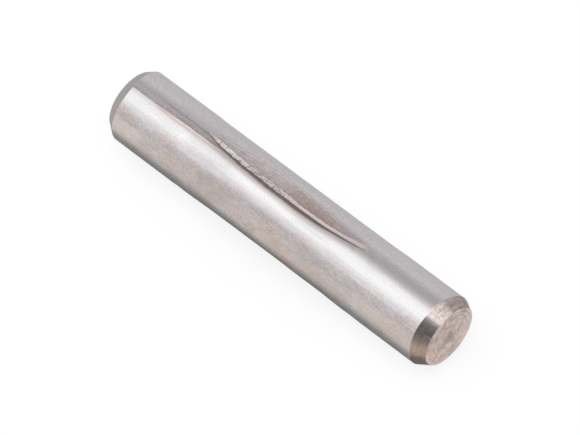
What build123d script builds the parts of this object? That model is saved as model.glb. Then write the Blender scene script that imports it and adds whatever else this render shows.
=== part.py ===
from build123d import *
import math
import os

# Plain pin, mm: it lies along X, and one groove faces up
pin_diameter = 6.0
pin_length = 32.0
near_chamfer_length = 1.03
far_chamfer_length = 0.86
end_face_diameter = 4.96
edge_round = 0.12

# Pressed grooves, spread evenly round the middle
groove_count = 3
groove_length = 16.0
groove_depth = 0.74
groove_floor_width = 0.32
groove_angle = 90.0
lip_round = 0.35

# Low swelling that the displaced metal raises on both sides of a groove
swell_height = 0.125
swell_length = 15.6
swell_half_angle = 45.0

# Between the grooves the pressed stretch is drawn in by a hair, so the pin lies on its plain ends
pressed_length = 18.6
pressed_waist = 0.03
waist_run_out = 0.6

# Shoulders of the groove tool, and how far a hidden end runs on
shoulder_slope = 12.0
overrun = 1.0

pin_radius = pin_diameter / 2
half_length = pin_length / 2
face_radius = end_face_diameter / 2


def blank():
    """The round pin with a chamfer at each end, its edges slightly rounded."""
    pressed_end = pressed_length / 2
    waist_end = pressed_end - waist_run_out
    waist_radius = pin_radius - pressed_waist
    outline = [
        (-half_length, 0),
        (-half_length, face_radius),
        (far_chamfer_length - half_length, pin_radius),
        (-pressed_end, pin_radius),
        (-waist_end, waist_radius),
        (waist_end, waist_radius),
        (pressed_end, pin_radius),
        (half_length - near_chamfer_length, pin_radius),
        (half_length, face_radius),
        (half_length, 0),
    ]
    profile = make_face(Polyline(*outline, close=True))
    corners = [corner for corner in profile.vertices() if corner.Y > 0 and abs(corner.X) > pressed_end]
    return revolve(fillet(corners, edge_round), Axis.X)


# The swelling is a slim barrel beside the pin's axis: its crown stands out by swell_height,
# and its sides sink into the pin at swell_half_angle from the groove
crown = pin_radius + swell_height
swell_spread = crown - pin_radius * math.cos(math.radians(swell_half_angle))
swell_offset = (crown**2 - pin_radius**2) / (2 * swell_spread)
swell_radius = crown - swell_offset
swell_bow = ((swell_length / 2) ** 2 + swell_height**2) / (2 * swell_height)


def swelling():
    """One barrel-shaped swelling, under the groove that faces up."""
    reach = swell_length / 2 + overrun
    end_radius = swell_radius - swell_bow + math.sqrt(swell_bow**2 - reach**2)
    back = ThreePointArc((-reach, end_radius), (0, swell_radius), (reach, end_radius))
    sides = Polyline((reach, end_radius), (reach, 0), (-reach, 0), (-reach, end_radius))
    barrel = revolve(make_face([back, sides]), Axis.X)
    return Pos(0, 0, swell_offset) * barrel


# The tool is a wheel with a blunt V rim that presses deepest at the middle of the groove
floor_height = pin_radius - groove_depth
tool_radius = ((groove_length / 2) ** 2 + groove_depth**2) / (2 * groove_depth)
flank_angle = math.radians(groove_angle / 2)
half_floor = groove_floor_width / 2

# Length of the flank, from the groove's floor up to the swelling
floor_above_offset = floor_height - swell_offset
toward = half_floor * math.sin(flank_angle) + floor_above_offset * math.cos(flank_angle)
floor_corner_square = half_floor**2 + floor_above_offset**2
flank_length = math.sqrt(toward**2 + swell_radius**2 - floor_corner_square) - toward
lip_side = half_floor + flank_length * math.sin(flank_angle)
lip_height = floor_height + flank_length * math.cos(flank_angle)


def groove_tool():
    """The wheel that leaves one groove with a flat floor and rounded lips."""
    reach = pin_radius
    shoulder_height = lip_height - (reach - lip_side) * math.tan(math.radians(shoulder_slope))
    top = pin_diameter
    rim = Polyline(
        (-half_floor, floor_height),
        (half_floor, floor_height),
        (lip_side, lip_height),
        (reach, shoulder_height),
        (reach, top),
        (-reach, top),
        (-reach, shoulder_height),
        (-lip_side, lip_height),
        close=True,
    )
    section = Plane.YZ * make_face(rim)
    lips = [corner for corner in section.vertices() if abs(abs(corner.Y) - lip_side) < edge_round]
    wheel_axis = Axis((0, 0, floor_height + tool_radius), (0, 1, 0))
    return revolve(fillet(lips, lip_round), wheel_axis)


turns = [Rot(X=360 * index / groove_count) for index in range(groove_count)]
pin = blank() + [turn * swelling() for turn in turns]
pin = pin - [turn * groove_tool() for turn in turns]

groove_pin = Pos(0, 0, pin_radius) * pin
groove_pin.label = "groove_pin"

os.makedirs("parts", exist_ok=True)
export_step(groove_pin, "parts/groove_pin.step")
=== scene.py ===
import functools
import math
from collections import namedtuple

import bmesh
import bpy
from bpy.props import FloatProperty, FloatVectorProperty, IntProperty, PointerProperty
from mathutils import Matrix, Vector, noise


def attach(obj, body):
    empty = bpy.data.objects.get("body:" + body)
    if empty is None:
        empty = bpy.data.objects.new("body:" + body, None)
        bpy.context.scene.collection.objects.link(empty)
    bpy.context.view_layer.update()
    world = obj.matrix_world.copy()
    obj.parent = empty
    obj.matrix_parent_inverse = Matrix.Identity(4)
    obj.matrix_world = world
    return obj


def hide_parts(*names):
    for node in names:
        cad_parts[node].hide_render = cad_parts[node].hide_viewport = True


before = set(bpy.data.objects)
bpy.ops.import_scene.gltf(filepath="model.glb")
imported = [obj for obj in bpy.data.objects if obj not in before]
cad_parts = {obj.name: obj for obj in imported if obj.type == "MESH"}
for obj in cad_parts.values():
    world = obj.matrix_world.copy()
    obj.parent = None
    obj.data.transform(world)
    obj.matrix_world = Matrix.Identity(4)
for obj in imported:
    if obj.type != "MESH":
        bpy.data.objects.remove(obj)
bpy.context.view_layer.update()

bl_info = {
    "name": "Groove Pin",
    "version": (1, 0, 0),
    "blender": (4, 5, 0),
    "location": "View3D > Sidebar > Groove Pin",
    "description": "A drawn steel groove pin with pressed grooves, and the stage it lies on",
    "category": "Add Mesh",
}

MM = 0.001

# Settings


def length(name, description, millimetres):
    """A length that a user may change, given in millimetres."""
    return FloatProperty(
        name=name,
        description=description,
        default=millimetres * MM,
        min=0.0,
        precision=5,
        unit="LENGTH",
        subtype="DISTANCE",
    )


def angle(name, description, degrees):
    """An angle that a user may change, given in degrees."""
    return FloatProperty(
        name=name,
        description=description,
        default=math.radians(degrees),
        unit="ROTATION",
        subtype="ANGLE",
    )


def colour(name, description, red, green, blue):
    """A linear colour that a user may change."""
    return FloatVectorProperty(
        name=name,
        description=description,
        default=(red, green, blue),
        size=3,
        min=0.0,
        max=1.0,
        subtype="COLOR",
    )


class PinSizes(bpy.types.PropertyGroup):
    """Sizes of the pin and of its pressed grooves."""

    diameter: length("Diameter", "Diameter of the plain ends", 6.0)
    length: length("Length", "Overall length", 32.0)
    near_chamfer: length("Near chamfer", "Length of the chamfer at the near end", 1.03)
    far_chamfer: length("Far chamfer", "Length of the chamfer at the far end", 0.86)
    face: length("End face", "Diameter of the flat end faces", 4.96)
    off_centre: length("Off centre", "How far the chamfers were turned off the pin's axis", 0.13)
    edge_round: length("Edge round", "Rounding of the turned edges", 0.10)
    burr: length("Burr", "Unevenness of the turned edges", 0.02)
    fuller: length("Fuller chamfer", "How far the near chamfer stands out at the back", 0.09)
    pressed: length("Pressed stretch", "Length of the stretch that the grooves lie in", 18.6)
    waist: length("Waist", "How far the pressed stretch is drawn in", 0.03)
    waist_run_out: length("Waist run-out", "Length over which the waist runs out", 0.6)
    groove_length: length("Groove length", "Length of a groove", 16.0)
    groove_depth: length("Groove depth", "Depth of a groove at its middle", 0.74)
    groove_floor: length("Groove floor", "Width of the flat floor of a groove", 0.36)
    groove_angle: angle("Groove angle", "Angle between the flanks of a groove", 89.0)
    lip_round: length("Lip round", "How far the rounding of a lip reaches", 0.20)
    dish: length("Dish", "How far the lips are drawn down beside a groove", 0.06)
    dish_angle: angle("Dish half angle", "Where the drawn-down lips rise to the full swelling", 31.0)
    groove_turn: angle("Groove turn", "How far the pin is rolled back from having a groove straight up", 1.1)
    groove_skew: angle("Groove skew", "How far a groove turns off the pin's axis, for each millimetre", 0.09)
    swell: length("Swelling", "Height of the swelling beside a groove", 0.124)
    swell_length: length("Swelling length", "Length of the swelling", 15.6)
    swell_angle: angle("Swelling half angle", "Where the swelling sinks into the pin", 45.0)
    columns: IntProperty(name="Columns", description="Columns of faces round the pin", default=240, min=60)
    rings: IntProperty(name="Rings", description="Rings of faces along the grooves", default=210, min=20)


class PinFinish(bpy.types.PropertyGroup):
    """Colours and finish of the steel."""

    steel: colour("Steel", "Drawn bare steel", 0.60, 0.567, 0.579)
    warm: colour("Warm steel", "Steel where it has yellowed a little", 0.60, 0.535, 0.515)
    stain: colour("Groove stain", "Brown stain on the flanks of the grooves", 0.44, 0.355, 0.335)
    # Painted shade: darkens the front flank inside each groove
    front_flank_shade: colour("Deep stain", "Dark stain on the front flanks of the grooves", 0.27, 0.225, 0.215)
    mauve: colour("Light stain", "Thinner stain along most of the grooves", 0.53, 0.465, 0.465)
    floor: colour("Groove floor", "Freshly pressed floor of the grooves", 0.87, 0.79, 0.795)
    chamfer: colour("Chamfer", "Turned chamfers", 0.44, 0.37, 0.34)
    far_chamfer_tint: colour("Far chamfer", "Chamfer at the far end, less stained", 0.45, 0.41, 0.395)
    cut_end: colour("Cut end", "Turned end faces", 0.81, 0.70, 0.645)
    roughness: FloatProperty(
        name="Roughness",
        description="Roughness of the drawn steel",
        default=0.23,
        min=0.0,
        max=1.0,
        subtype="FACTOR",
    )


class StageSettings(bpy.types.PropertyGroup):
    """Camera, floor and light."""

    azimuth: angle("Azimuth", "Way that the camera stands, from the front towards the right", 43.28)
    elevation: angle("Elevation", "How high the camera stands", 52.37)
    distance: length("Distance", "Distance from the camera to the pin", 418.7)
    lens: FloatProperty(name="Lens", description="Focal length of the camera, mm", default=353.5, min=1.0)
    aside: length("Aside", "How far the pin lies left of the picture's middle", 0.183)
    floor_size: length("Floor", "Side of the floor", 3000.0)
    floor_colour: colour("Floor colour", "Pale floor", 0.90, 0.835, 0.79)


# Shape

# Half the angle between two grooves
BORDER = math.radians(60.0)

# Places closer together than this, in metres, are the same
CLOSE = 1e-7

# How far the grooves wander off their straight line, towards the back: mm along the pin, degrees
FAR_WANDER = ((-8.0, 1.1), (-6.9, 1.2), (-5.4, 0.75), (-3.6, 0.85), (-2.1, 1.4), (-0.3, 1.3))
NEAR_WANDER = ((1.7, -0.55), (3.8, -1.3), (5.4, -0.2), (7.0, 1.4), (8.0, 1.7))
WANDER = FAR_WANDER + NEAR_WANDER

# Shares of the columns on half a groove's ground that reach the ends of its floor, corner, flank and lip
ZONE_SHARES = (3 / 40, 4 / 40, 10 / 40, 24 / 40)

# Columns closer together than this share of half a groove's ground are the same
SAME_COLUMN = 1e-4

# Which way the end faces lie off centre, by side: towards the back, and up
OFF_CENTRE = {1: (0.8, 0.0), -1: (0.73, 0.45)}

# How far that brings the chamfers' outer edges towards the end, in mm, and where: towards the back, and up
EDGE_SHIFT = {1: (-0.17, -0.77, 0.64), -1: (0.27, 0.83, 0.56)}

# How far from the rim the burrs reach, in mm, and their waves: how close together and how strong
BURR_REACH = 0.35
BURR_WAVES = ((1.7, 1.0), (5.1, 0.6))

# Spreads the burrs round a rim, and keeps those of the two ends unlike each other
BURR_SPREAD = 4.0
ENDS_APART = 3.0

# Brings the top of the fuller back's curve to 1
FULLER_CURVE = 9.5

# Depth from which a groove's floor counts as fully pressed, in mm
FULLY_PRESSED = 0.10

# Across a groove, in widths to its lip: as far as is noted, how much farther the lip counts past a tip, and
# the share of the groove's middle below which the tip begins
FARTHEST = 4.0
TIP_FARTHER = 2.0
TIP_SHARE = 0.125

# Lean of the plain ends, which are never stained
PLAIN_LEAN = -60.0


def smooth_max(a, b, reach):
    """The larger of two heights, with a round blend where they meet."""
    near = max(reach - abs(a - b), 0.0)
    return max(a, b) + near * near / (4 * reach)


def smooth_min(a, b, reach):
    """The smaller of two heights, with a round blend where they meet."""
    return -smooth_max(-a, -b, reach)


def rise(value, start, end):
    """A straight rise from 0 at start to 1 at end."""
    return min(max((value - start) / (end - start), 0.0), 1.0)


def between(stops, place):
    """The values of the two stops that a place lies between, and its share of the way across."""
    for (low, start), (high, end) in zip(stops, stops[1:]):
        if place <= high:
            return start, end, (place - low) / (high - low)
    raise ValueError("a place lies past the last stop")


def wander(x):
    """How far a groove has wandered at a place along the pin, as an angle."""
    along = min(max(x / MM, WANDER[0][0]), WANDER[-1][0])
    start, end, share = between(WANDER, along)
    return math.radians(start + (end - start) * share * share * (3 - 2 * share))


class PressedForm:
    """Cross sections of the pressed stretch, where the groove tool has worked."""

    # Angles that the floor's corner takes up, a flank at least, and a lip inside its crest and in all
    CORNER = math.radians(0.25)
    LEAST_FLANK = math.radians(0.6)
    INNER_LIP = math.radians(5.0)
    WHOLE_LIP = math.radians(10.0)

    # What is left of a lip's width and of its rounding at the groove's tips
    TIP_LIP = 0.25
    TIP_ROUND = 0.12

    # Where the floor is slimmest, in mm along the pin, how far from there it widens, and what is left there
    SLIMMEST = 3.4
    WIDENING = (2.0, 4.6)
    SLIM_SHARE = 0.70

    # Where the floor widens from its point at the far tip, in mm along the pin, and its share of width there
    POINT = (-7.95, -7.05)
    POINT_SHARE = 0.25

    # Where the floor gets slimmer in the far half, in mm along the pin, and by how much
    FAR_HALF = (-1.5, -3.5)
    FAR_SLIMMING = 0.14

    # Where the tool began to chatter sideways, in mm along the pin, the least share of that, how far it goes
    # in widths of the floor, and waves a mm
    RAGGED = (2.0, -1.0)
    RAGGED_LEAST = 0.12
    RAGGED_WIDTH = 0.22
    RAGGED_WAVES = 3.1

    # Where it began to chatter up and down, in mm along the pin, the least share of that, how far it goes in
    # mm, and waves a mm
    CHATTER = (1.0, -2.0)
    CHATTER_LEAST = 0.08
    CHATTER_HEIGHT = 0.014
    CHATTER_WAVES = 5.3

    # Keep the chatter of two grooves, of a floor's two edges, and sideways and upwards, unlike each other
    GROOVES_APART = 7.0
    EDGES_APART = 0.3
    SIDEWAYS, UPWARDS = 0.5, 3.5

    # Share of the groove's middle from which the lips are drawn down fully
    FULLY_DRAWN = 0.5

    # How far the dish still deepens inside the crest of a lip, where its depth is 1
    MOST_DRAWN = 1.3

    # Keeps a flank's radius from growing without end far from its groove
    LEAST_DIVISOR = 0.05

    def __init__(self, sizes):
        self.radius = sizes.diameter / 2
        self.waist_radius = self.radius - sizes.waist
        crown = self.radius + sizes.swell
        spread = crown - self.radius * math.cos(sizes.swell_angle)
        self.swell_offset = (crown**2 - self.radius**2) / (2 * spread)
        self.swell_radius = crown - self.swell_offset
        self.swell_bow = ((sizes.swell_length / 2) ** 2 + sizes.swell**2) / (2 * sizes.swell)
        self.flank = sizes.groove_angle / 2
        self.half_floor = sizes.groove_floor / 2
        self.floor_height = self.radius - sizes.groove_depth
        self.tool_radius = ((sizes.groove_length / 2) ** 2 + sizes.groove_depth**2) / (2 * sizes.groove_depth)
        self.lip_round = sizes.lip_round
        self.dish = sizes.dish
        self.dish_angle = sizes.dish_angle
        self.blend = sizes.waist
        self.longest_flank = self.flank_length(0.0)

    def floor_at(self, x):
        """Height of the groove's floor above the pin's axis."""
        return self.floor_height + self.tool_radius - math.sqrt(self.tool_radius**2 - x * x)

    def swell_at(self, x):
        """Radius of the swelling's own round section."""
        return self.swell_radius - self.swell_bow + math.sqrt(self.swell_bow**2 - x * x)

    def flank_length(self, x):
        """Length of the flank from the floor's corner to the swelling, or 0 past the groove's end."""
        up = self.floor_at(x) - self.swell_offset
        toward = self.half_floor * math.sin(self.flank) + up * math.cos(self.flank)
        inside = toward**2 + self.swell_at(x) ** 2 - self.half_floor**2 - up**2
        return max(math.sqrt(max(inside, 0.0)) - toward, 0.0)

    def share(self, x):
        """How far the groove is pressed in here: 1 at its middle, 0 past its ends."""
        return self.flank_length(x) / self.longest_flank

    def lip_turn(self, x):
        """Angle from the groove's middle to the crest of its lip."""
        reach = self.flank_length(x)
        aside = self.half_floor + reach * math.sin(self.flank)
        return math.atan2(aside, self.floor_at(x) + reach * math.cos(self.flank))

    def zones(self, x, half_floor):
        """Angles from the groove's middle where the floor, its corner, the flank and the lip end."""
        floor_end = math.atan2(half_floor, min(self.floor_at(x), self.radius))
        corner_end = floor_end + self.CORNER
        round_share = self.TIP_LIP + (1 - self.TIP_LIP) * self.share(x)
        flank_end = max(self.lip_turn(x) - self.INNER_LIP * round_share, corner_end + self.LEAST_FLANK)
        return floor_end, corner_end, flank_end, flank_end + self.WHOLE_LIP * round_share

    def floor_width(self, x, groove, side):
        """Half the floor's width: slim in the near half, ragged in the far half, pointed at the far tip."""
        along = x / MM
        slim = self.SLIM_SHARE + (1 - self.SLIM_SHARE) * rise(abs(along - self.SLIMMEST), *self.WIDENING)
        pointed = max(rise(along, *self.POINT), self.POINT_SHARE)
        far_half = 1 - self.FAR_SLIMMING * rise(along, *self.FAR_HALF)
        edge = (groove + self.EDGES_APART * side) * self.GROOVES_APART
        waves = noise.noise(Vector((along * self.RAGGED_WAVES, edge, self.SIDEWAYS)))
        ragged = self.RAGGED_WIDTH * max(rise(along, *self.RAGGED), self.RAGGED_LEAST) * waves
        return self.half_floor * slim * pointed * far_half * (1 + ragged)

    def chatter(self, x, groove):
        """How far the floor rises and falls where the tool chattered, most in the far half."""
        along = x / MM
        waves = noise.noise(Vector((along * self.CHATTER_WAVES, groove * self.GROOVES_APART, self.UPWARDS)))
        return self.CHATTER_HEIGHT * MM * max(rise(along, *self.CHATTER), self.CHATTER_LEAST) * waves

    def body(self, turn, x):
        """Radius of the pin before the groove is pressed in, at an angle from the groove."""
        across = self.swell_offset * math.sin(turn)
        swelling = self.swell_offset * math.cos(turn) + math.sqrt(self.swell_at(x) ** 2 - across**2)
        drawn = max(self.dish_angle - turn, 0.0) / (self.dish_angle - self.lip_turn(x))
        full = min(self.share(x) / self.FULLY_DRAWN, 1.0)
        drawn_down = self.dish * full * min(drawn, self.MOST_DRAWN) ** 2
        return smooth_max(self.waist_radius, swelling, self.blend) - drawn_down

    def tool(self, turn, x, half_floor):
        """Radius at which the groove tool stops, at an angle from the groove."""
        floor = self.floor_at(x)
        on_floor = floor / math.cos(turn)
        slope = 1 / math.tan(self.flank)
        divisor = max(math.cos(turn) - math.sin(turn) * slope, self.LEAST_DIVISOR)
        return max(on_floor, (floor - half_floor * slope) / divisor)

    def surface(self, turn, x, half_floor):
        """Radius of the finished pin, and how deep the tool went there."""
        body, tool = self.body(turn, x), self.tool(turn, x, half_floor)
        reach = self.lip_round * (self.TIP_ROUND + (1 - self.TIP_ROUND) * self.share(x))
        return smooth_min(body, tool, reach), max(body - tool, 0.0)


def column_turn(share, zones):
    """Angle of a column from the groove's middle, given as a share of the way to the next groove's border."""
    start, end, way = between(((0.0, 0.0), *zip(ZONE_SHARES, zones), (1.0, BORDER)), share)
    return start + (end - start) * way


def turned_blank(sizes):
    """The chamfered blank, spun about the pin's axis, with rings ready for the grooves."""
    half, radius, face = sizes.length / 2, sizes.diameter / 2, sizes.face / 2
    pressed_end = sizes.pressed / 2
    waist_end = pressed_end - sizes.waist_run_out
    outline = [
        (-half, 0.0),
        (-half, face),
        (-half + sizes.far_chamfer, radius),
        (-pressed_end, radius),
        (-waist_end, radius - sizes.waist),
        (waist_end, radius - sizes.waist),
        (pressed_end, radius),
        (half - sizes.near_chamfer, radius),
        (half, face),
        (half, 0.0),
    ]
    bm = bmesh.new()
    points = [bm.verts.new((x, 0.0, out)) for x, out in outline]
    lines = [bm.edges.new(pair) for pair in zip(points, points[1:])]
    far_face, far_chamfer, far_plain, _, grooved, _, near_plain, near_chamfer, near_face = lines
    cuts_along = (
        ([grooved], sizes.rings),
        ([far_plain, near_plain], 8),
        ([far_face, near_face], 6),
        ([far_chamfer, near_chamfer], 5),
    )
    for edges, cuts in cuts_along:
        bmesh.ops.subdivide_edges(bm, edges=edges, cuts=cuts)
    bmesh.ops.spin(
        bm,
        geom=bm.verts[:] + bm.edges[:],
        cent=(0, 0, 0),
        axis=(1, 0, 0),
        dvec=(0, 0, 0),
        angle=2 * math.pi,
        steps=sizes.columns,
        use_merge=True,
        use_duplicate=False,
    )
    bmesh.ops.remove_doubles(bm, verts=bm.verts[:], dist=CLOSE)
    bmesh.ops.recalc_face_normals(bm, faces=bm.faces[:])
    return bm


def ring_edges(bm, along, out):
    """The edges of the ring at a place along the pin, at a radius."""

    def on_ring(vert):
        return abs(vert.co.x - along) < CLOSE and abs(math.hypot(vert.co.y, vert.co.z) - out) < CLOSE

    return [edge for edge in bm.edges if all(on_ring(vert) for vert in edge.verts)]


def round_edges(bm, sizes):
    """Rounds the turned edges: the rims of the end faces and the chamfers' outer edges."""
    half, radius, face = sizes.length / 2, sizes.diameter / 2, sizes.face / 2
    for side, chamfer in ((1, sizes.near_chamfer), (-1, sizes.far_chamfer)):
        steep = math.atan2(radius - face, chamfer)
        for along, out, bend in ((half, face, math.pi / 2 - steep), (half - chamfer, radius, steep)):
            bmesh.ops.bevel(
                bm,
                geom=ring_edges(bm, side * along, out),
                offset=sizes.edge_round * math.tan(bend / 2),
                offset_type="OFFSET",
                segments=4,
                profile=0.5,
                affect="EDGES",
                material=-1,
            )


def chamfer_growth(place, side, into, sizes):
    """How far a chamfer stands out at a place: burrs at the rim, and at the near end a fuller back."""
    out, turn = math.hypot(place.y, place.z), math.atan2(place.y, place.z)
    on_rim = BURR_SPREAD * math.sin(turn), BURR_SPREAD * math.cos(turn)
    rough_at = Vector((side * ENDS_APART + into, *on_rim))
    rough = sum(strong * noise.noise(rough_at * close) for close, strong in BURR_WAVES)
    near_rim = max(1 - abs(out - sizes.face / 2) / (BURR_REACH * MM), 0.0)
    grown = sizes.burr * rough * near_rim
    if side > 0:
        # The curve has its top a quarter of the way into the chamfer
        curve = FULLER_CURVE * into * (1 - into) ** 3
        grown += sizes.fuller * curve * max(math.sin(turn), 0.0) ** 2
    return grown


def uneven_ends(bm, sizes):
    """Sets the ends off centre, as they were turned, with the chamfers' outer edges off square."""
    half, pressed_end = sizes.length / 2, sizes.pressed / 2
    for vert in bm.verts:
        side = 1 if vert.co.x > 0 else -1
        chamfer = sizes.near_chamfer if side > 0 else sizes.far_chamfer
        into = (abs(vert.co.x) - (half - chamfer)) / chamfer
        plain = (abs(vert.co.x) - pressed_end) / (half - chamfer - pressed_end)
        out = math.hypot(vert.co.y, vert.co.z)
        if plain <= 0 or out < CLOSE:
            continue
        shift, shift_back, shift_up = EDGE_SHIFT[side]
        towards = max((vert.co.y * shift_back + vert.co.z * shift_up) / out, 0.0)
        share = 1 - into if into > 0 else plain
        if into > 0:
            grown = 1 + chamfer_growth(vert.co, side, into, sizes) / out
            back, up = OFF_CENTRE[side]
            vert.co.y = vert.co.y * grown + into * sizes.off_centre * back
            vert.co.z = vert.co.z * grown + into * sizes.off_centre * up
        vert.co.x += side * share * shift * MM * towards**2


def nearest_groove(vert):
    """A vertex's angle, the number of the groove nearest to it, and its side: 1 behind, -1 in front."""
    turn = math.atan2(vert.co.y, vert.co.z)
    groove = round(turn / (2 * BORDER))
    return turn, groove, 1 if turn >= groove * 2 * BORDER else -1


def press_grooves(bm, sizes):
    """Moves the pressed stretch's columns to the grooves, and its surface in or out to their form."""
    form = PressedForm(sizes)
    front_layer = bm.verts.layers.float.new("front_of_groove")
    floor_layer = bm.verts.layers.float.new("groove_floor")
    waist_end = sizes.pressed / 2 - sizes.waist_run_out
    groove_end = sizes.groove_length / 2
    for vert in bm.verts:
        x = vert.co.x
        turn, groove, side = nearest_groove(vert)
        if abs(x) > waist_end + CLOSE:
            vert[front_layer] = FARTHEST if side < 0 else 0.0
            continue
        middle = groove * 2 * BORDER
        share = min(abs(turn - middle) / BORDER, 1.0)
        half_floor = form.floor_width(x, groove, side)
        spread = rise(abs(x), waist_end, groove_end)
        away = column_turn(share, form.zones(x, half_floor))
        away = share * BORDER + (away - share * BORDER) * spread
        radius, depth = form.surface(away, x, half_floor)
        on_floor = share < ZONE_SHARES[0] + SAME_COLUMN
        pressed = min(depth / (FULLY_PRESSED * MM), 1.0) if on_floor else 0.0
        radius += pressed * form.chatter(x, groove)
        placed = middle + side * away + (sizes.groove_skew * x / MM + wander(x)) * spread
        vert.co.y = radius * math.sin(placed)
        vert.co.z = radius * math.cos(placed)
        # Towards the groove's tips and past them the lip counts as farther away
        across = away / form.lip_turn(x) + max(1 - form.share(x) / TIP_SHARE, 0.0) * TIP_FARTHER
        vert[front_layer] = min(across, FARTHEST) if side < 0 else 0.0
        vert[floor_layer] = pressed


def note_lean(bm, sizes):
    """Notes how far the surface leans in towards its groove, in degrees, and which parts lie behind it."""
    lean_layer = bm.verts.layers.float.new("lean")
    back_layer = bm.verts.layers.float.new("back_side")
    waist_end = sizes.pressed / 2 - sizes.waist_run_out
    bm.normal_update()
    for vert in bm.verts:
        _, groove, side = nearest_groove(vert)
        vert[back_layer] = 1.0 if side > 0 else 0.0
        if abs(vert.co.x) > waist_end + CLOSE:
            vert[lean_layer] = PLAIN_LEAN
            continue
        facing = math.atan2(vert.normal.y, vert.normal.z) - groove * 2 * BORDER
        facing = (facing + math.pi) % (2 * math.pi) - math.pi
        vert[lean_layer] = -side * math.degrees(facing)


def mesh_object(name, bm, material):
    """Hands a finished bmesh over as an object at the origin."""
    mesh = bpy.data.meshes.new(name)
    bm.to_mesh(mesh)
    bm.free()
    mesh.materials.append(material)
    piece = bpy.data.objects.new(name, mesh)
    bpy.context.scene.collection.objects.link(piece)
    return piece


# Nodes


class Nodes:
    """Shorthand for building a node tree."""

    def __init__(self, tree):
        self.tree = tree
        tree.nodes.clear()

    def add(self, kind):
        return self.tree.nodes.new(kind)

    def link(self, start, end):
        self.tree.links.new(start, end)

    def fill(self, socket, value):
        """Fills an input with another socket, a number or a colour."""
        if isinstance(value, bpy.types.NodeSocket):
            self.link(value, socket)
        elif isinstance(value, (int, float)):
            socket.default_value = value
        else:
            socket.default_value = (*value, 1.0)

    def math(self, operation, a, b=None, clamp=False):
        """A Math node on sockets or numbers; returns its output."""
        node = self.add("ShaderNodeMath")
        node.operation = operation
        node.use_clamp = clamp
        self.fill(node.inputs[0], a)
        if b is not None:
            self.fill(node.inputs[1], b)
        return node.outputs[0]

    def plus(self, a, b, clamp=False):
        return self.math("ADD", a, b, clamp)

    def minus(self, a, b):
        return self.math("SUBTRACT", a, b)

    def times(self, a, b):
        return self.math("MULTIPLY", a, b)

    def total(self, *values):
        """Values added up."""
        return functools.reduce(self.plus, values)

    def all_of(self, *masks):
        """Masks multiplied together."""
        return functools.reduce(self.times, masks)

    def hypot(self, a, b):
        """Length of the longest side of a right triangle."""
        return self.math("SQRT", self.plus(self.times(a, a), self.times(b, b)))

    def mix(self, share, a, b, blend="MIX"):
        """A colour mix; a and b are sockets or colours, share a socket or a number."""
        node = self.add("ShaderNodeMix")
        node.data_type = "RGBA"
        node.blend_type = blend
        self.fill(node.inputs[0], share)
        self.fill(node.inputs[6], a)
        self.fill(node.inputs[7], b)
        return node.outputs[2]

    def paint(self, base, mask, share, over):
        """Lays a colour over the base where the mask is, as strongly as the share says."""
        return self.mix(self.times(mask, share), base, over)

    def relief(self, base, pattern, sides, share=1.0):
        """Takes the base's colour up on one side of a pattern and down on the other: from, to, tint."""
        for start, end, tint in sides:
            base = self.mix(self.times(self.step(pattern, start, end), share), base, tint, "MULTIPLY")
        return base

    def ramp(self, factor, stops):
        """A colour ramp on a socket, with stops of a place and a colour."""
        node = self.add("ShaderNodeValToRGB")
        elements = node.color_ramp.elements
        while len(elements) < len(stops):
            elements.new(1.0)
        for element, (place, tint) in zip(elements, stops):
            element.position = place
            element.color = (*tint, 1.0)
        self.link(factor, node.inputs[0])
        return node.outputs[0]

    def noise(self, vector, detail, roughness):
        """A noise texture's value."""
        node = self.add("ShaderNodeTexNoise")
        node.inputs["Scale"].default_value = 1.0
        node.inputs["Detail"].default_value = detail
        node.inputs["Roughness"].default_value = roughness
        self.link(vector, node.inputs["Vector"])
        return node.outputs["Fac"]

    def mapping(self, vector, scale, location=(0, 0, 0)):
        """A Mapping node's vector."""
        node = self.add("ShaderNodeMapping")
        node.inputs["Scale"].default_value = scale
        node.inputs["Location"].default_value = location
        self.link(vector, node.inputs["Vector"])
        return node.outputs[0]

    def axes(self, vector):
        """The three parts of a vector."""
        node = self.add("ShaderNodeSeparateXYZ")
        self.link(vector, node.inputs[0])
        return tuple(node.outputs)

    def millimetres(self, location=(0, 0, 0)):
        """Object coordinates in millimetres."""
        place = self.add("ShaderNodeTexCoord").outputs["Object"]
        return self.mapping(place, (1 / MM, 1 / MM, 1 / MM), location)

    def attribute(self, name):
        """A float attribute of the piece's own mesh."""
        node = self.add("ShaderNodeAttribute")
        node.attribute_name = name
        return node.outputs["Fac"]

    def step(self, value, start, end):
        """A soft step from 0 at start to 1 at end."""
        node = self.add("ShaderNodeMapRange")
        node.interpolation_type = "SMOOTHSTEP"
        node.inputs["From Min"].default_value = start
        node.inputs["From Max"].default_value = end
        self.link(value, node.inputs["Value"])
        return node.outputs[0]

    def window(self, value, start, end, soft):
        """1 between start and end, with soft borders."""
        return self.times(self.step(value, start - soft, start), self.step(value, end + soft, end))

    def show(self, others, camera, output):
        """Shows one shader to the camera and another to all other rays."""
        choice = self.add("ShaderNodeMixShader")
        self.link(self.add("ShaderNodeLightPath").outputs["Is Camera Ray"], choice.inputs[0])
        self.link(others.outputs[0], choice.inputs[1])
        self.link(camera.outputs[0], choice.inputs[2])
        self.link(choice.outputs[0], self.add(output).inputs["Surface"])


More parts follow.
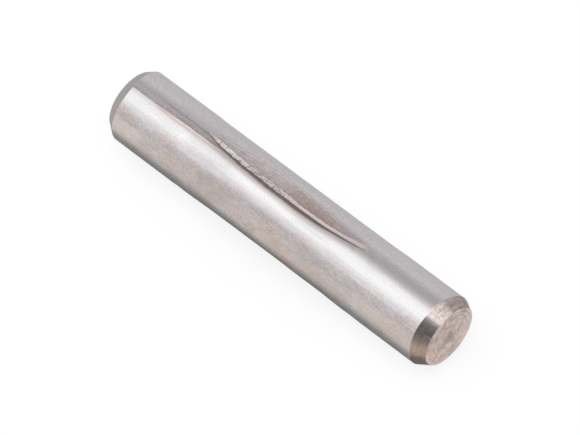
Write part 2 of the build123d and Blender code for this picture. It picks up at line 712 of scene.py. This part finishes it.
class PinNodes(Nodes):
    """Nodes that know the pin: mm from the middle of its axis, degrees from straight up to the front."""

    def __init__(self, tree, sizes):
        super().__init__(tree)
        self.radius, self.half = sizes.diameter / 2 / MM, sizes.length / 2 / MM
        self.spot = self.millimetres((0, 0, -self.radius))
        self.x, self.y, self.z = self.axes(self.spot)
        front = self.times(self.y, -1.0)
        self.turn = self.times(self.math("ARCTAN2", front, self.z), 180 / math.pi)
        self.streaks = self.pattern((0.22, 6.5, 6.5), 3.0, 0.55)
        self.hairlines = self.pattern((0.5, 24.0, 24.0), 2.0, 0.5)
        self.grain = self.pattern((7.0, 11.0, 11.0), 2.0, 0.6)
        self.crumbs = self.pattern((4.6, 5.0, 5.0), 2.0, 0.6)
        self.blots = self.pattern((1.5, 1.5, 1.5), 4.0, 0.6)
        self.specks = self.pattern((3.5, 3.5, 3.5), 3.0, 0.6)

    def pattern(self, scale, detail, roughness):
        """A noise that repeats about so many times in a mm along, across and up the pin."""
        return self.noise(self.mapping(self.spot, scale), detail, roughness)

    def along(self, start, end, soft):
        """1 between two places along the pin."""
        return self.window(self.x, start, end, soft)

    def around(self, start, end, soft):
        """1 between two angles."""
        return self.window(self.turn, start, end, soft)

    def mark(self, base, mark):
        """Lays a mark over the base."""
        mask = self.times(self.around(*mark.around), self.along(*mark.along))
        return self.paint(base, mask, mark.share, mark.shade)


# Steel

# A mark on the steel: degrees from straight up towards the front, and mm along the pin, each as from, to and
# softness, then how strong it is and its colour
Mark = namedtuple("Mark", ("around", "along", "share", "shade"))

DARK_GRAIN = (0.12, 0.105, 0.105)
PALE_GRAIN = (1.0, 0.98, 0.98)
# Brown marks with painted shade behind the highlight's far edge, a painted highlight along it, and a painted
# lighter band behind
BORDER_BROWN_SHADE = (0.24, 0.155, 0.135)
BORDER_PEACH = (1.0, 0.905, 0.88)
BORDER_HIGHLIGHT = (0.97, 0.885, 0.85)
BEHIND_BORDER_LIGHT = (1.0, 0.97, 0.99)
SCRATCH = (0.22, 0.15, 0.13)
PALE_LINE = (0.80, 0.77, 0.79)
# A painted highlight colour and a painted shade colour
HIGHLIGHT_PAINT = (0.95, 0.93, 0.93)
SHADE_PAINT = (0.30, 0.275, 0.28)
WORN_LIP = (0.62, 0.56, 0.55)

BROWN_LINE = Mark((-0.6, 0.8, 1.2), (-11.5, -7.6, 1.5), 0.30, (0.20, 0.165, 0.17))

# Long bands of painted highlight and painted shade on the plain surface, where the reflected light is taken
# up or down
PAINTED_LIGHT_AND_SHADE = (
    Mark((12.0, 34.0, 8.0), (-8.0, -5.2, 1.6), 0.22, SHADE_PAINT),
    Mark((16.0, 25.0, 4.0), (2.6, 4.4, 1.4), 0.20, SHADE_PAINT),
    Mark((14.0, 22.0, 4.0), (5.6, 9.0, 1.4), 0.09, SHADE_PAINT),
    Mark((20.0, 32.0, 6.0), (-16.0, -11.0, 2.0), 0.11, SHADE_PAINT),
    Mark((62.0, 84.0, 6.0), (-16.0, -13.2, 1.6), 0.20, HIGHLIGHT_PAINT),
    Mark((46.0, 72.0, 8.0), (-6.2, -4.0, 1.2), 0.16, SHADE_PAINT),
    Mark((50.0, 66.0, 6.0), (4.0, 5.4, 1.0), 0.10, SHADE_PAINT),
    Mark((31.0, 39.0, 5.0), (-5.0, 4.6, 1.5), 0.20, HIGHLIGHT_PAINT),
    Mark((86.0, 102.0, 4.0), (-5.5, 6.0, 2.5), 0.30, SHADE_PAINT),
    Mark((3.0, 11.0, 3.0), (5.4, 8.4, 0.8), 0.14, SHADE_PAINT),
    Mark((62.0, 80.0, 6.0), (9.5, 14.6, 1.5), 0.12, HIGHLIGHT_PAINT),
    Mark((-16.0, -9.0, 3.0), (-10.8, -7.4, 1.2), 0.12, SHADE_PAINT),
)


def worn_spot(at, turned, long):
    """A small bright spot worn on a lip: mm along the pin, degrees to the front, and its length."""
    half = long / 2
    return Mark((turned - 0.6, turned + 0.6, 0.8), (at - half, at + half, 0.1), 0.7, WORN_LIP)


# On the back lip of the groove that faces up
WORN_SPOTS = (
    worn_spot(-2.75, -14.0, 0.40),
    worn_spot(2.16, -18.0, 0.20),
    worn_spot(3.70, -22.0, 0.45),
    worn_spot(5.0, -20.5, 0.25),
)

# Peach tint with painted shade for the front lips
LIP_PEACH_SHADE = (0.52, 0.45, 0.42)
TIP_STAIN = (0.36, 0.31, 0.31)
NEAR_TIP_STAIN = (0.34, 0.29, 0.285)
RUST = (0.35, 0.245, 0.185)
BED_DULL = (0.50, 0.45, 0.45)
BED_END = (0.36, 0.32, 0.32)
BED_BRIGHT = (1.0, 0.96, 0.985)
BED_CRUMBS = (0.34, 0.31, 0.32)

# Painted light and shade on the near chamfer: how its colour is taken down or up, by degrees from straight up
# towards the front
CHAMFER_LIGHT_AND_SHADE = (
    (-180.0, (0.70, 0.73, 0.75)),
    (-90.0, (0.58, 0.62, 0.65)),
    (-66.0, (0.68, 0.71, 0.73)),
    (-46.0, (0.85, 0.845, 0.85)),
    (-18.0, (0.99, 0.98, 0.98)),
    (0.0, (1.00, 1.00, 1.00)),
    (28.0, (0.86, 0.875, 0.955)),
    (47.0, (0.92, 0.96, 1.00)),
    (54.0, (0.62, 0.62, 0.64)),
    (61.0, (0.60, 0.58, 0.56)),
    (66.0, (0.80, 0.76, 0.71)),
    (71.0, (1.00, 0.93, 0.86)),
    (82.0, (1.12, 1.03, 0.94)),
    (89.0, (1.00, 0.98, 0.97)),
    (95.0, (0.72, 0.73, 0.75)),
    (101.0, (0.60, 0.60, 0.60)),
    (125.0, (0.80, 0.80, 0.80)),
    (180.0, (0.80, 0.80, 0.80)),
)

TORN_PALE = (0.89, 0.79, 0.765)
TORN_BROWN = (0.60, 0.50, 0.47)
TORN_GLINT = (1.0, 0.94, 0.90)
TORN_PIT = (0.55, 0.46, 0.44)
FACE_SPECK = (0.42, 0.34, 0.31)
FACE_RING = (1.22, 1.21, 1.20)
FACE_MIDDLE_SHADE = (0.36, 0.29, 0.265)
FACE_BURR = (0.95, 0.86, 0.80)
FACE_RIM = (0.86, 0.82, 0.81)

# Patterns that take a colour up on one side and down on the other: from, to, tint
FLANK_PITS = ((0.52, 0.30, (1.30, 1.30, 1.30)), (0.52, 0.72, (0.66, 0.66, 0.66)))
CHAMFER_SCORES = ((0.50, 0.36, (1.32, 1.26, 1.20)), (0.50, 0.64, (0.76, 0.74, 0.74)))
FACE_TURNING = ((0.50, 0.34, (1.17, 1.16, 1.15)), (0.50, 0.66, (0.78, 0.76, 0.75)))
FACE_GRIT = ((0.42, 0.28, (1.14, 1.14, 1.15)), (0.56, 0.70, (0.76, 0.74, 0.73)))
# Painted light: the end faces lighter towards one side and darker towards the other
FACE_LIGHT_SLOPE = ((0.2, -2.2, (1.18, 1.18, 1.19)), (0.2, 2.2, (0.89, 0.88, 0.88)))

# Marks of the lathe: arcs a mm outwards and in a turn, rings in radians a mm, and how far the rings wobble
ARCS_OUTWARDS = 9.5
ARCS_ROUND = 1.1
RINGS_OUTWARDS = 30.0
RING_WOBBLE = 9.0

# Height of the drawn lines and turning marks, in mm, and how much the drawn lines change the roughness
MARK_HEIGHT = 0.0024
ROUGH_LINES = 0.10


def darker(tint, share):
    """A colour taken down to a share of its strength."""
    return tuple(part * share for part in tint)


def plain_surface(n, finish):
    """The drawn surface: lines and grain, calmer where it is polished, yellow and mottled low in front."""
    clouds = n.pattern((0.45, 0.9, 0.9), 3.0, 0.55)
    mottle = n.pattern((1.3, 2.9, 2.9), 2.0, 0.5)
    warmed = n.times(n.step(clouds, 0.40, 0.62), n.step(n.turn, 30.0, 46.0))
    steel = n.mix(warmed, tuple(finish.steel), tuple(finish.warm))
    polished = n.times(n.around(14.0, 36.0, 8.0), 0.45)
    calm_end = n.all_of(n.step(n.turn, 38.0, 30.0), n.step(n.x, 2.0, 8.0), 0.25)
    strengths = (
        (n.streaks, 0.26),
        (n.grain, n.minus(n.minus(1.08, polished), calm_end)),
        (n.hairlines, 0.12),
        (mottle, n.times(n.step(n.turn, 30.0, 44.0), 0.50)),
    )
    dull = n.total(*(n.times(n.minus(pattern, 0.5), strength) for pattern, strength in strengths))
    steel = n.mix(dull, steel, DARK_GRAIN)
    return n.mix(n.times(dull, -1.0), steel, PALE_GRAIN)


def far_highlight_border(n, steel):
    """A straight edge to the highlight past the groove's far tip: a peach tint and a painted highlight in
    front, brown marks and painted shade behind, and a painted lighter band farther back.
    """
    past = n.math("DIVIDE", n.minus(-9.6, n.x), 3.2, clamp=True)
    border = n.minus(n.turn, n.times(past, 2.2))
    # Brown marks and painted shade that cut the highlight off along a straight edge
    brown = n.all_of(n.step(border, 2.0, 8.3), n.step(border, 9.4, 8.5), n.along(-15.0, -6.6, 0.8))
    specked = n.plus(n.times(n.step(n.grain, 0.34, 0.62), 0.34), 0.36)
    steel = n.paint(steel, brown, specked, BORDER_BROWN_SHADE)
    steel = n.mark(steel, BROWN_LINE)
    peach = n.times(n.window(border, 9.7, 15.5, 2.0), n.along(-12.0, -5.0, 1.2))
    steel = n.mix(peach, steel, BORDER_PEACH, "MULTIPLY")
    # Painted highlight along that edge
    edge = n.times(n.window(border, 9.7, 12.0, 0.5), n.along(-10.6, -5.0, 1.2))
    steel = n.paint(steel, edge, 0.34, BORDER_HIGHLIGHT)
    # Painted light: a lighter band in the dark reflection farther back
    lighter_band = n.times(n.around(-13.0, -5.0, 5.0), n.step(n.x, -6.5, -9.5))
    return n.paint(steel, lighter_band, 0.14, BEHIND_BORDER_LIGHT)


def marks_and_painted_light(n, steel):
    """A thin slanted scratch in front of that border, a long pale line on the front, and bands of painted
    highlight and painted shade.
    """
    slanted = n.plus(n.turn, n.times(n.plus(n.x, 9.2), 0.3))
    scratch = n.times(n.window(slanted, 12.8, 13.4, 0.6), n.along(-12.2, -4.4, 0.8))
    steel = n.paint(steel, scratch, 0.42, SCRATCH)
    pale = n.all_of(n.around(42.2, 42.9, 0.5), n.along(-8.0, 13.4, 1.5), n.step(n.streaks, 0.38, 0.55))
    steel = n.paint(steel, pale, 0.40, PALE_LINE)
    # Bands of painted highlight and painted shade
    return functools.reduce(n.mark, PAINTED_LIGHT_AND_SHADE, steel)


def back_flank(n, finish, unsure, on_lip):
    """Colour of the back flanks: a thin stain, thick in the near half and at the tips, rusty and pitted."""
    pits = n.pattern((4.0, 8.0, 8.0), 3.0, 0.6)
    thick = n.plus(n.along(1.4, 4.6, 2.4), n.times(unsure, 2.2), clamp=True)
    stain = n.mix(thick, tuple(finish.mauve), tuple(finish.stain))
    at_tips = n.step(n.math("ABSOLUTE", n.minus(n.x, 0.5)), 4.8, 7.0)
    stain = n.paint(stain, at_tips, 0.45, TIP_STAIN)
    stain = n.paint(stain, n.along(5.7, 6.6, 0.7), 0.45, NEAR_TIP_STAIN)
    rust = n.all_of(n.around(-4.0, 2.5, 2.5), n.along(1.0, 4.6, 1.4), n.step(pits, 0.30, 0.60))
    stain = n.paint(stain, rust, 0.75, RUST)
    stain = n.relief(stain, pits, FLANK_PITS)
    return n.paint(stain, on_lip, 0.35, darker(finish.stain, 0.58))


def groove_bed(n, finish):
    """Colour of the grooves' floors: crumbly in the far half, bright at that tip, dull at the near one."""
    bed = n.paint(tuple(finish.floor), n.step(n.x, 3.5, 7.5), 0.35, BED_DULL)
    bed = n.paint(bed, n.step(n.x, 7.2, 7.7), 0.35, BED_END)
    bed = n.mix(n.along(-6.0, -4.9, 0.9), bed, BED_BRIGHT)
    crumbed = n.times(n.step(n.x, 2.0, -1.5), n.step(n.crumbs, 0.52, 0.40))
    return n.paint(bed, crumbed, 0.75, BED_CRUMBS)


def stained_grooves(n, steel, finish):
    """Stained back flanks and lips, painted shade on the front flanks and, with a peach tint, on the front
    lips, and a clean floor; also gives the masks that make the steel rougher.
    """
    back_side, on_floor = n.attribute("back_side"), n.attribute("groove_floor")
    front_lip = n.window(n.attribute("front_of_groove"), 0.8, 1.25, 0.35)
    # Painted shade with a peach tint on the front lips, where they round into the grooves
    base = n.paint(steel, front_lip, 0.6, LIP_PEACH_SHADE)
    unsure = n.minus(n.pattern((0.5, 7.0, 7.0), 3.0, 0.6), 0.5)
    lean = n.plus(n.attribute("lean"), n.times(unsure, 14.0))
    far_tip = n.math("DIVIDE", n.minus(-4.2, n.x), 3.2, clamp=True)
    near_tip = n.math("DIVIDE", n.minus(n.x, 4.4), 3.2, clamp=True)

    back_lean = n.step(n.plus(lean, n.times(near_tip, 10.0)), 5.0, 20.0)
    on_back = n.times(back_lean, back_side)
    base = n.paint(base, on_back, 0.95, back_flank(n, finish, unsure, n.window(lean, 27.0, 40.0, 5.0)))

    # Painted shade on the front flanks, wider towards the tips, and at the far tip along the floor's near
    # edge
    near_line = n.times(near_tip, n.step(n.x, 8.1, 6.7))
    spread = n.plus(n.times(far_tip, 26.0), n.times(near_line, 38.0))
    front_shade_lean = n.step(n.plus(lean, spread), 13.0, 34.0)
    tip_shade = n.all_of(n.around(5.6, 8.7, 1.2), n.along(-7.2, -5.3, 0.7), 0.6)
    front_shade = n.times(n.math("MAXIMUM", front_shade_lean, tip_shade), n.minus(1.0, back_side))
    base = n.paint(base, front_shade, 0.95, tuple(finish.front_flank_shade))

    base = functools.reduce(n.mark, WORN_SPOTS, base)
    base = n.mix(on_floor, base, groove_bed(n, finish))
    stained = n.plus(on_back, front_shade, clamp=True)
    return base, ((stained, 0.34), (front_lip, 0.14), (on_floor, 0.12))


class Turning:
    """Marks of the lathe about the near face's own middle."""

    def __init__(self, n, sizes):
        back, up = (part * sizes.off_centre / MM for part in OFF_CENTRE[1])
        self.aside, self.over = n.minus(n.y, back), n.minus(n.z, up)
        self.out = n.hypot(self.aside, self.over)
        place = n.add("ShaderNodeCombineXYZ")
        n.link(n.times(self.out, ARCS_OUTWARDS), place.inputs[0])
        for part, socket in zip((self.aside, self.over), place.inputs[1:]):
            n.link(n.times(n.math("DIVIDE", part, self.out), ARCS_ROUND), socket)
        self.arcs = n.noise(place.outputs[0], 3.0, 0.62)
        wobble = n.pattern((1.0, 0.7, 0.7), 2.0, 0.5)
        wave = n.plus(n.times(self.out, RINGS_OUTWARDS), n.times(wobble, RING_WOBBLE))
        self.rings = n.math("SINE", wave)


def near_chamfer(n, finish, turning):
    """Colour of the near chamfer, stained in patches, with painted light and shade round it, scored, and
    where it is torn bright at the top, with painted glints.
    """
    stain = n.mix(n.step(n.blots, 0.35, 0.7), tuple(finish.chamfer), darker(finish.chamfer, 0.84))
    uneven_turn = n.plus(n.turn, n.times(n.minus(n.specks, 0.5), 9.0))
    whole_turn = n.math("DIVIDE", n.plus(uneven_turn, 180.0), 360.0)
    # Painted light and shade, by the way the chamfer faces
    patches = n.ramp(whole_turn, [((at + 180.0) / 360.0, tint) for at, tint in CHAMFER_LIGHT_AND_SHADE])
    stain = n.mix(1.0, stain, patches, "MULTIPLY")
    scored = n.plus(n.times(turning.arcs, 0.7), n.times(n.specks, 0.3))
    upper = n.plus(n.times(n.step(n.turn, 30.0, 0.0), 0.45), 0.55)
    stain = n.relief(stain, scored, CHAMFER_SCORES, upper)

    torn = n.times(n.step(uneven_turn, -17.0, -3.0), n.step(uneven_turn, 25.0, 20.5))
    torn_grain = n.plus(n.times(n.crumbs, 0.5), n.times(turning.arcs, 0.5))
    bare = n.mix(n.step(torn_grain, 0.38, 0.62), TORN_PALE, TORN_BROWN)
    # Painted glints on the torn steel, and dark pits
    glints_and_pits = n.pattern((9.0, 9.0, 9.0), 1.0, 0.5)
    bare = n.mix(n.step(glints_and_pits, 0.60, 0.74), bare, TORN_GLINT)
    bare = n.mix(n.step(glints_and_pits, 0.40, 0.26), bare, TORN_PIT)
    return n.mix(torn, stain, bare), torn


def end_face(n, finish, turning):
    """Colour of the end faces: turned in rings, gritty, with painted shade in the middle and painted light to
    one side, and with a bright rim and burrs.
    """
    face = n.mix(n.step(n.blots, 0.38, 0.66), tuple(finish.cut_end), darker(finish.cut_end, 0.76))
    face = n.paint(face, n.step(n.specks, 0.44, 0.66), 0.35, FACE_SPECK)
    face = n.relief(face, turning.arcs, FACE_TURNING)
    face = n.mix(n.times(n.step(turning.rings, 0.0, 1.0), 0.35), face, FACE_RING, "MULTIPLY")
    face = n.relief(face, n.pattern((7.0, 7.0, 7.0), 2.0, 0.6), FACE_GRIT)
    # Painted shade: the middle of the faces is darker
    face = n.paint(face, n.step(turning.out, 0.85, 0.15), 0.62, FACE_MIDDLE_SHADE)
    # Painted light and shade across the faces
    slope = n.minus(n.times(turning.over, 0.95), n.times(turning.aside, 0.3))
    face = n.relief(face, slope, FACE_LIGHT_SLOPE)
    at_top = n.around(-30.0, 24.0, 8.0)
    burr = n.all_of(n.step(turning.out, 2.22, 2.40), at_top, n.step(n.specks, 0.58, 0.42))
    face = n.paint(face, burr, 0.6, FACE_BURR)
    low = n.math("MAXIMUM", n.step(n.math("ABSOLUTE", n.turn), 70.0, 120.0), n.around(-120.0, -66.0, 6.0))
    return n.paint(face, n.times(low, n.step(turning.out, 2.10, 2.34)), 0.5, FACE_RIM)


def turned_ends(n, base, finish, turning):
    """Chamfers and end faces; also gives the faces' mask, and the masks that make the steel rougher."""
    reach, from_axis = n.math("ABSOLUTE", n.x), n.hypot(n.y, n.z)
    cut_away = n.step(from_axis, n.radius - 0.004, n.radius - 0.026)
    torn_past = n.all_of(n.step(n.x, n.half - 1.30, n.half - 1.12), n.around(-6.0, 14.0, 5.0), 0.8)
    at_end = n.step(reach, n.half - 2.0, n.half - 1.6)
    on_chamfer = n.math("MAXIMUM", n.times(cut_away, at_end), torn_past)
    on_face = n.step(reach, n.half - 0.05, n.half - 0.02)
    near_end = n.step(n.x, 0.0, 1.0)
    near, torn = near_chamfer(n, finish, turning)
    base = n.mix(on_chamfer, base, n.mix(near_end, tuple(finish.far_chamfer_tint), near))
    base = n.mix(on_face, base, end_face(n, finish, turning))
    torn_off = n.all_of(on_chamfer, torn, near_end)
    return base, on_face, ((on_chamfer, 0.06), (torn_off, 0.22), (on_face, 0.14))


def node_material(name):
    """A new material, ready for nodes."""
    material = bpy.data.materials.new(name)
    material.use_nodes = True
    return material


def drawn_steel(finish, sizes):
    """Drawn bare steel: lengthwise lines, stained grooves, turned ends."""
    material = node_material("drawn_steel")
    n = PinNodes(material.node_tree, sizes)
    turning = Turning(n, sizes)
    steel = marks_and_painted_light(n, far_highlight_border(n, plain_surface(n, finish)))
    base, rough_grooves = stained_grooves(n, steel, finish)
    base, on_face, rough_ends = turned_ends(n, base, finish, turning)

    shader = n.add("ShaderNodeBsdfPrincipled")
    shader.inputs["Metallic"].default_value = 1.0
    shader.inputs["Specular Tint"].default_value = (0.80, 0.80, 0.80, 1.0)
    n.link(base, shader.inputs["Base Color"])
    rough_places = ((n.streaks, ROUGH_LINES), *rough_grooves, *rough_ends)
    rougher = (n.times(mask, more) for mask, more in rough_places)
    n.link(n.total(finish.roughness - ROUGH_LINES / 2, *rougher), shader.inputs["Roughness"])

    heights = ((n.streaks, 1.0), (n.hairlines, 0.35), (n.grain, 0.15), (n.times(turning.rings, on_face), 0.5))
    bump = n.add("ShaderNodeBump")
    bump.inputs["Strength"].default_value = 1.0
    bump.inputs["Distance"].default_value = MARK_HEIGHT * MM
    n.link(n.total(*(n.times(pattern, height) for pattern, height in heights)), bump.inputs["Height"])
    n.link(bump.outputs[0], shader.inputs["Normal"])
    n.link(shader.outputs[0], n.add("ShaderNodeOutputMaterial").inputs["Surface"])
    return material


# Stage

# The floor as the pin sees it: behind the pin, and in the pin's own shadow
FLOOR_BEHIND = (0.86, 0.835, 0.85)
FLOOR_UNDER = (0.46, 0.47, 0.475)

# The floor as the camera sees it: its own light, and how much of the light on it shows
FLOOR_GLOW = 0.82
FLOOR_LIT = (0.2, 0.2, 0.2)

# Light from above, by the angle from straight up towards the front, in degrees: long soft panels that run
# along the pin, brightest a little in front of straight up and dimmer behind
PANELS = (
    (-90.0, (0.84, 0.83, 0.83)),
    (-58.0, (0.86, 0.85, 0.85)),
    (-49.0, (0.74, 0.73, 0.73)),
    (-40.0, (0.60, 0.59, 0.59)),
    (-20.0, (0.60, 0.59, 0.59)),
    (-9.0, (0.92, 0.92, 0.92)),
    (2.0, (1.45, 1.49, 1.46)),
    (12.0, (1.60, 1.68, 1.66)),
    (29.0, (1.62, 1.71, 1.69)),
    (42.0, (1.28, 1.30, 1.31)),
    (60.0, (0.98, 0.97, 0.99)),
    (72.0, (0.80, 0.79, 0.79)),
    (90.0, (0.84, 0.81, 0.79)),
)

# Strength of the world's light, above the brightest panel, then the shades past the panels and of the stand
BRIGHTEST = 2.0
PAST_PANELS = (0.40, 0.41, 0.44)
DARK_STAND = (0.02, 0.02, 0.02)


def pale_floor(tint):
    """A pale floor that shows white to the camera, with the pin's soft shadow."""
    material = node_material("pale_floor")
    n = Nodes(material.node_tree)
    x, y, _ = n.axes(n.millimetres())
    beside = n.step(n.math("ABSOLUTE", y), 6.7, 3.5)
    under = n.all_of(beside, n.step(x, 17.0, 14.5), n.step(x, -19.5, -16.5))
    lit = n.add("ShaderNodeBsdfDiffuse")
    open_floor = n.mix(n.step(y, -2.0, 4.0), tint, FLOOR_BEHIND)
    n.link(n.mix(under, open_floor, FLOOR_UNDER), lit.inputs["Color"])
    dim = n.add("ShaderNodeBsdfDiffuse")
    n.fill(dim.inputs["Color"], FLOOR_LIT)
    glow = n.add("ShaderNodeEmission")
    glow.inputs["Strength"].default_value = FLOOR_GLOW
    shown = n.add("ShaderNodeAddShader")
    n.link(dim.outputs[0], shown.inputs[0])
    n.link(glow.outputs[0], shown.inputs[1])
    n.show(lit, shown, "ShaderNodeOutputMaterial")
    return material


def studio_world():
    """Soft light from all round, white to the camera, and a dark stand below the camera."""
    world = bpy.data.worlds.new("studio")
    bpy.context.scene.world = world
    world.use_nodes = True
    n = Nodes(world.node_tree)
    x, y, z = n.axes(n.add("ShaderNodeTexCoord").outputs["Generated"])
    turn = n.math("ARCTAN2", n.times(y, -1.0), z)
    above = n.plus(n.times(turn, 1 / math.pi), 0.5, clamp=True)
    panels = n.ramp(above, [(0.5 + at / 180.0, darker(tint, 1 / BRIGHTEST)) for at, tint in PANELS])
    panels = n.mix(n.step(n.math("ABSOLUTE", x), 0.72, 0.94), panels, PAST_PANELS)
    degrees = n.times(turn, 180 / math.pi)
    stand = n.times(n.window(degrees, 28.0, 74.0, 8.0), n.window(x, 0.32, 0.62, 0.08))
    around = n.add("ShaderNodeBackground")
    n.link(n.paint(panels, stand, 0.92, DARK_STAND), around.inputs["Color"])
    around.inputs["Strength"].default_value = BRIGHTEST
    white = n.add("ShaderNodeBackground")
    n.fill(white.inputs["Color"], (1, 1, 1))
    n.show(around, white, "ShaderNodeOutputWorld")


# Operators


class OBJECT_OT_groove_pin(bpy.types.Operator):
    """Build the groove pin: a turned blank, its rounded edges and its pressed grooves"""

    bl_idname = "object.groove_pin"
    bl_label = "Groove Pin"

    def execute(self, context):
        sizes = context.scene.pin_sizes
        bm = turned_blank(sizes)
        round_edges(bm, sizes)
        uneven_ends(bm, sizes)
        press_grooves(bm, sizes)
        note_lean(bm, sizes)
        rolled = Matrix.Rotation(-sizes.groove_turn, 3, "X")
        bmesh.ops.rotate(bm, cent=(0, 0, 0), matrix=rolled, verts=bm.verts[:])
        bmesh.ops.transform(bm, matrix=Matrix.Translation((0, 0, sizes.diameter / 2)), verts=bm.verts[:])
        for face in bm.faces:
            face.smooth = True
        piece = mesh_object("pressed_pin", bm, drawn_steel(context.scene.pin_finish, sizes))
        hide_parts("groove_pin")
        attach(piece, "root")
        return {"FINISHED"}


class OBJECT_OT_pin_stage(bpy.types.Operator):
    """Set the stage: a pale floor, soft studio light and the camera"""

    bl_idname = "object.pin_stage"
    bl_label = "Pin Stage"

    def execute(self, context):
        stage = context.scene.pin_stage
        bm = bmesh.new()
        bmesh.ops.create_grid(bm, x_segments=1, y_segments=1, size=stage.floor_size / 2)
        mesh_object("floor", bm, pale_floor(tuple(stage.floor_colour)))

        flat = math.cos(stage.elevation)
        ahead, beside = -math.cos(stage.azimuth) * flat, math.sin(stage.azimuth) * flat
        back = Vector((beside, ahead, math.sin(stage.elevation)))
        right = Vector((math.cos(stage.azimuth), math.sin(stage.azimuth), 0.0))
        camera = bpy.data.objects.new("camera", bpy.data.cameras.new("camera"))
        camera.data.sensor_width = 36.0
        camera.data.lens = stage.lens
        camera.data.clip_start = 0.01
        camera.data.clip_end = 10.0
        aim = Vector((0, 0, context.scene.pin_sizes.diameter / 2)) + right * stage.aside
        camera.location = aim + back * stage.distance
        camera.rotation_mode = "QUATERNION"
        camera.rotation_quaternion = (-back).to_track_quat("-Z", "Y")
        context.scene.collection.objects.link(camera)
        context.scene.camera = camera
        studio_world()
        context.scene.view_settings.view_transform = "Standard"
        return {"FINISHED"}


class VIEW3D_PT_groove_pin(bpy.types.Panel):
    """Sizes and finish of the groove pin"""

    bl_label = "Groove Pin"
    bl_space_type = "VIEW_3D"
    bl_region_type = "UI"
    bl_category = "Groove Pin"

    def draw(self, context):
        for group in (context.scene.pin_sizes, context.scene.pin_finish, context.scene.pin_stage):
            box = self.layout.box()
            for name in group.__annotations__:
                box.prop(group, name)
        self.layout.operator("object.groove_pin")
        self.layout.operator("object.pin_stage")


CLASSES = (
    PinSizes,
    PinFinish,
    StageSettings,
    OBJECT_OT_groove_pin,
    OBJECT_OT_pin_stage,
    VIEW3D_PT_groove_pin,
)


def register():
    for cls in CLASSES:
        bpy.utils.register_class(cls)
    bpy.types.Scene.pin_sizes = PointerProperty(type=PinSizes)
    bpy.types.Scene.pin_finish = PointerProperty(type=PinFinish)
    bpy.types.Scene.pin_stage = PointerProperty(type=StageSettings)


def unregister():
    for name in ("pin_sizes", "pin_finish", "pin_stage"):
        delattr(bpy.types.Scene, name)
    for cls in reversed(CLASSES):
        bpy.utils.unregister_class(cls)


def main():
    register()
    bpy.ops.object.groove_pin()
    bpy.ops.object.pin_stage()


if __name__ == "__main__":
    main()
